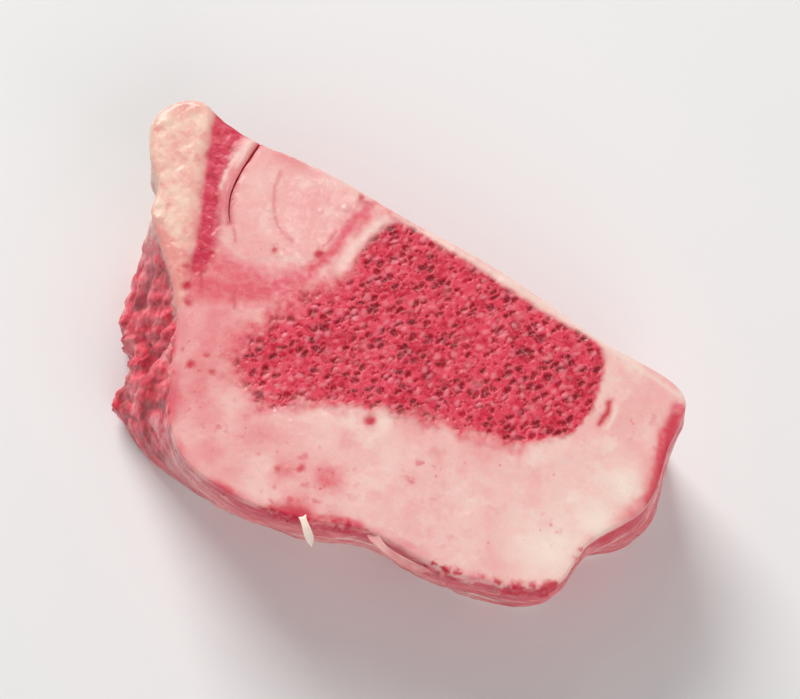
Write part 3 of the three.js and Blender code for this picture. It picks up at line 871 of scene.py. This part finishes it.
def flesh(name, roughness, coat, shine=0.35):
    """A moist material that can colour every tissue: a piece's own marks say where each lies."""
    g = Graph(name)
    middle, small, speck = g.noise(4.5, 4), g.noise(1.1, 5), g.noise(0.45, 2)
    colour = cartilage_colour(g, middle, small)
    # Rosy zones and the growth plate
    rosy = g.math("MULTIPLY", g.read("rosy"), g.span(small, 0.3, 0.65, 0.8, 1.1), clamp=True)
    colour = g.mix(rosy, colour, ROSE)
    plate_colour = g.patches(PLATE, PINK, middle, 0.42, 0.66, 0.55)
    plate_colour = g.patches(plate_colour, PALE, g.noise(3.2, 4), 0.5, 0.7, 0.4)
    plate_colour = g.mix(g.math("MULTIPLY", g.read("pink"), 0.7), plate_colour, PINK)
    colour = g.mix(g.math("MULTIPLY", g.read("plate"), 0.72), colour, plate_colour)
    walls, torn_colour = wall_colour(g, middle, small)
    colour = g.mix(g.read("wall"), colour, walls)
    # Spongy bone
    pits = g.math("ADD", g.read("hollow"), g.span(small, 0.3, 0.7, -0.22, 0.25))
    pits = g.math("ADD", pits, g.span(g.noise(4.5, 4), 0.35, 0.65, -0.16, 0.24))
    marrow_colour = g.mix(g.math("MULTIPLY", g.read("bony"), 0.6), g.ramp(pits, MARROW), BONY)
    marrow_colour = g.patches(marrow_colour, BONY, speck, 0.6, 0.72, 0.35)
    colour = g.mix(g.read("marrow"), colour, marrow_colour)
    # Meat and fat
    fibres = g.noise(2.4, 5, (0.9, 2.2, 0.7))
    meat_colour = g.ramp(g.math("ADD", fibres, g.span(small, 0.3, 0.7, -0.12, 0.12)), MEAT)
    colour = g.mix(g.read("meat"), colour, meat_colour)
    colour = g.mix(g.read("side"), colour, torn_colour)
    fat_tone = g.math("MULTIPLY", g.read("inside_fat"), 0.4)
    fat_tone = g.math("ADD", fat_tone, g.span(middle, 0.35, 0.65, 0.1, 0.45))
    fat_colour = g.ramp(g.math("ADD", fat_tone, g.span(small, 0.3, 0.7, -0.1, 0.1)), FAT)
    fat_colour = g.patches(fat_colour, ROSE, g.noise(3.0, 6, (1, 1, 0.6)), 0.56, 0.72, 0.45)
    colour = g.mix(g.read("fat"), colour, fat_colour)
    # Fine marks on top
    # Pale tissue, and the painted highlight along the slit's left lip.
    colour = g.mix(g.read("pale"), colour, PALE)
    colour = g.mix(g.math("MULTIPLY", g.read("fleck"), 0.85), colour, FLECK)
    colour = g.mix(g.math("MAXIMUM", g.read("blood"), g.read("red")), colour, BLOOD)
    colour = g.mix(g.read("in_slit"), colour, SLIT_RED)
    # Fine relief and moist gloss
    saw_marks = g.noise(0.7, 2, (1, 0.06, 1), turn=0.5)
    relief = g.math("ADD", g.math("MULTIPLY", small, 0.8), g.math("MULTIPLY", speck, 0.5))
    relief = g.math("ADD", relief, g.math("MULTIPLY", saw_marks, 0.35))
    fleshy = g.math("MAXIMUM", g.read("meat"), g.read("side"))
    relief = g.math("ADD", relief, g.math("MULTIPLY", g.math("MULTIPLY", fibres, 1.6), fleshy))
    bump = g.node("ShaderNodeBump", {"Strength": 0.6, "Distance": 0.12 / METRE, "Height": relief})
    gloss = g.span(middle, 0.35, 0.65, roughness - 0.08, roughness + 0.1)
    shader = g.node("ShaderNodeBsdfPrincipled", {
        "Base Color": colour,
        "Roughness": g.math("ADD", g.span(small, 0.3, 0.7, -0.08, 0.1), gloss),
        "Specular IOR Level": shine,
        "Coat Weight": coat,
        "Coat Roughness": 0.12,
        "Subsurface Weight": 0.25,
        "Subsurface Radius": (1.0, 0.35, 0.25),
        "Subsurface Scale": 0.5 / METRE,
        "Normal": bump.outputs[0],
    })
    g.node("ShaderNodeOutputMaterial", {"Surface": shader.outputs[0]})
    return g.material


# ---- The pieces ----
SHARP_ANGLE = math.radians(62)


def finish_piece(obj, node, slot):
    """Marks a piece, moves it from the drawing to its place and gives it its looks."""
    mark(obj)
    points = points_of(obj)
    points[:, :2] -= DRAWN_CENTRE
    obj.data.vertices.foreach_set("co", (points / METRE).astype(np.float32).ravel())
    obj.data.materials.clear()
    obj.data.materials.append(materials[slot])
    obj.data.shade_smooth()
    obj.data.set_sharp_from_angle(angle=SHARP_ANGLE)
    obj.data.update()
    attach(obj, "root")
    if node:
        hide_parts(node)


def near_region(name):
    return lambda points: regions[name].distance(points) < 1.0


TISSUES = [  # piece, node, slot, spacing of its points on the upper cut and on the lower one
    ("core_bone", "spongy_core", "spongy_bone", 0.21, 0.42),
    ("plate_cartilage", "growth_plate", "growth_cartilage", 0.28, 0.5),
    ("strip_of_meat", "meat_strip", "meat", 0.26, 0.5),
    ("edge_of_fat", "fat_edge", "fat", 0.28, 0.5),
    ("clinging_meat", "side_meat", "meat", 0.3, 0.5),
]
LOOKS = {
    "spongy_bone": dict(roughness=0.5, coat=0.1, shine=0.25),
    "growth_cartilage": dict(roughness=0.33, coat=0.35),
    "meat": dict(roughness=0.42, coat=0.22, shine=0.3),
    "fat": dict(roughness=0.36, coat=0.3),
    "cartilage": dict(roughness=0.38, coat=0.22),
}
materials = {slot: flesh("moist_" + slot, **look) for slot, look in LOOKS.items()}
prisms = [regions[node].prism() for _, node, _, _, _ in TISSUES]
slit = slit_cutter()

for index, (piece, node, slot, spacing, lower_spacing) in enumerate(TISSUES):
    made = mesh_object(piece, *whole_piece(spacing, lower_spacing, near_region(node)))
    cut_by(made, "INTERSECT", prisms[index])
    for earlier in prisms[:index]:
        cut_by(made, "DIFFERENCE", earlier)
    if node in ("growth_plate", "meat_strip"):
        cut_by(made, "DIFFERENCE", slit)
    finish_piece(made, node, slot)


def in_shell(points):
    return np.min([regions[name].distance(points) for name in REGIONS], axis=0) > -1.0


shell = mesh_object("shell_of_cartilage", *whole_piece(0.3, 0.6, in_shell))
for prism in prisms:
    cut_by(shell, "DIFFERENCE", prism)
cut_by(shell, "DIFFERENCE", slit)
finish_piece(shell, "cartilage_shell", "cartilage")


# ---- Shreds of membrane and tatters of meat along the front edge ----
def ribbon(points, half_width, thickness, facing, length_steps=40, round_steps=14):
    """A thin curled strip along a path, narrowing to its far end."""
    path = resample_open(points, length_steps)
    along = np.gradient(path, axis=0)
    along /= np.linalg.norm(along, axis=1)[:, None]
    at = np.linspace(0, 1, len(path))
    side = np.cross(along, facing)
    side /= np.linalg.norm(side, axis=1)[:, None]
    up = np.cross(side, along)
    k = np.arange(round_steps)
    across, rising = np.cos(k / round_steps * 2 * math.pi), np.sin(k / round_steps * 2 * math.pi)
    rings = []
    for i, p in enumerate(path):
        ends = min(1, 6 * (1 - at[i]) + 0.25, 5 * at[i] + 0.3)
        half = half_width * (1 - 0.55 * at[i] ** 2) * (1 + 0.25 * math.sin(9 * at[i] + 1)) * ends
        lifted = thickness / 2 * rising + 0.35 * across ** 2 * half
        rings.append(p + side[i] * (half * across)[:, None] + up[i] * lifted[:, None])
    vertices = np.vstack(rings + [path[:1], path[-1:]])
    start, following = (len(rings) - 1) * round_steps, (k + 1) % round_steps
    first_end, last_end = (np.full(round_steps, len(vertices) - back) for back in (2, 1))
    tris = side_triangles(rings)
    tris.append(np.stack([first_end, following, k], 1))
    tris.append(np.stack([last_end, start + k, start + following], 1))
    return vertices, np.vstack(tris)


SHREDS = {  # path, half width, thickness, the way its broad side faces, how pale it is
    "shred_of_membrane": (
        [(2.6, -33.4, 28.4), (3.9, -35, 29.9), (5.2, -36.2, 30), (6.4, -37.3, 29.4), (7.2, -38.2, 28.2)],
        0.8, 0.36, (0.2, -0.3, 0.9), 1),
    "loop_of_membrane": (
        [(13.4, -30, 27.8), (15.2, -32.2, 29.2), (18, -33.3, 29.4), (21.2, -33.6, 28.9),
         (24, -33.4, 28.2), (26.4, -32.2, 27.2)],
        0.85, 0.4, (0.1, -0.4, 0.9), 0.25),
}
for name, (path, half_width, thickness, facing, paleness) in SHREDS.items():
    shred = mesh_object(name, *ribbon(path, half_width, thickness, facing))
    finish_piece(shred, None, "cartilage")
    for mark_name, value in (("pale", paleness), ("red", 0.0), ("blood", 0.0), ("fleck", 0.0)):
        store(shred, mark_name, value)


def tatters():
    """Small torn ends of meat that hang over the front edge, two to four at each of the edge bits."""
    rng = np.random.default_rng(12)
    edge = RINGS[-1][:, :2]
    outward = outward_normals(edge, 6)
    vertices, tris, redness, count = [], [], [], 0
    for *middle, radius, strength in EDGE_BITS:
        for _ in range(1 + round(1.6 * radius)):
            place = middle + rng.normal(0, 0.8 * radius, 2)
            nearest = np.argmin(np.linalg.norm(edge - place, axis=1))
            root, away = edge[nearest], outward[nearest]
            sideways = np.array((-away[1], away[0])) * rng.normal(0, 0.35)
            length = strength * rng.uniform(0.8, 3.2)
            top = rng.uniform(-1.4, -0.7)
            steps = ((-0.9, top, 0), (0.2, top, 0.1), (0.6, top - 0.35 * length, 0.5), (0.45, top - length, 1))
            path = [np.append(root + out * away + over * sideways, THICKNESS + up) for out, up, over in steps]
            half_width, thickness = rng.uniform(0.2, 0.6), rng.uniform(0.25, 0.45)
            strip = ribbon(path, half_width, thickness, np.append(away, 0.6), length_steps=14, round_steps=9)
            vertices.append(strip[0])
            tris.append(strip[1] + count)
            count += len(strip[0])
            redness.append(np.full(len(strip[0]), rng.uniform(0.1, 0.9)))
    made = mesh_object("tatters_of_meat", np.vstack(vertices), np.vstack(tris))
    finish_piece(made, None, "meat")
    store(made, "red", np.concatenate(redness))
    store(made, "meat", 1.0)


tatters()


# ---- Stage, light and camera ----
def floor():
    half = 1.5
    corners = [(-half, -half, 0), (half, -half, 0), (half, half, 0), (-half, half, 0)]
    made = mesh_object("floor", corners, [(0, 1, 2), (0, 2, 3)])
    material = bpy.data.materials.new("pale_floor")
    material.use_nodes = True
    shader = material.node_tree.nodes["Principled BSDF"]
    shader.inputs["Base Color"].default_value = (0.86, 0.86, 0.86, 1)
    shader.inputs["Roughness"].default_value = 0.7
    made.data.materials.append(material)


AZIMUTH, ELEVATION = math.radians(28), math.radians(70)  # the photograph's viewing angle
TARGET, DISTANCE = Vector((0.0028, 0.0098, 0.0197)), 0.325  # in metres
LEVEL = math.cos(ELEVATION)
BACK = Vector((math.sin(AZIMUTH) * LEVEL, -math.cos(AZIMUTH) * LEVEL, math.sin(ELEVATION)))


def camera():
    data = bpy.data.cameras.new("camera")
    data.lens, data.sensor_width = 85, 36
    made = scene_object("camera", data)
    made.location = TARGET + BACK * DISTANCE
    made.rotation_euler = BACK.to_track_quat("Z", "Y").to_euler()
    bpy.context.scene.camera = made


def lamp(name, place, size, power, colour=(1, 1, 1)):
    data = bpy.data.lights.new(name, "AREA")
    data.size, data.energy, data.color = size, power, colour
    made = scene_object(name, data)
    made.location = place
    made.rotation_euler = Vector(place).to_track_quat("Z", "Y").to_euler()


floor()
camera()
lamp("key", (-1.04, 0.85, 1.04), 0.85, 24.5, (1.0, 0.985, 0.97))
lamp("fill", (1.0, -0.65, 0.8), 1.2, 9.2)
lamp("glint", (-0.12, 0.2, 0.55), 0.05, 0.08)
world = bpy.data.worlds.new("studio")
world.use_nodes = True
background = world.node_tree.nodes["Background"]
background.inputs["Color"].default_value = (1, 1, 1, 1)
background.inputs["Strength"].default_value = 0.24
bpy.context.scene.world = world
bpy.context.scene.view_settings.view_transform = "Standard"
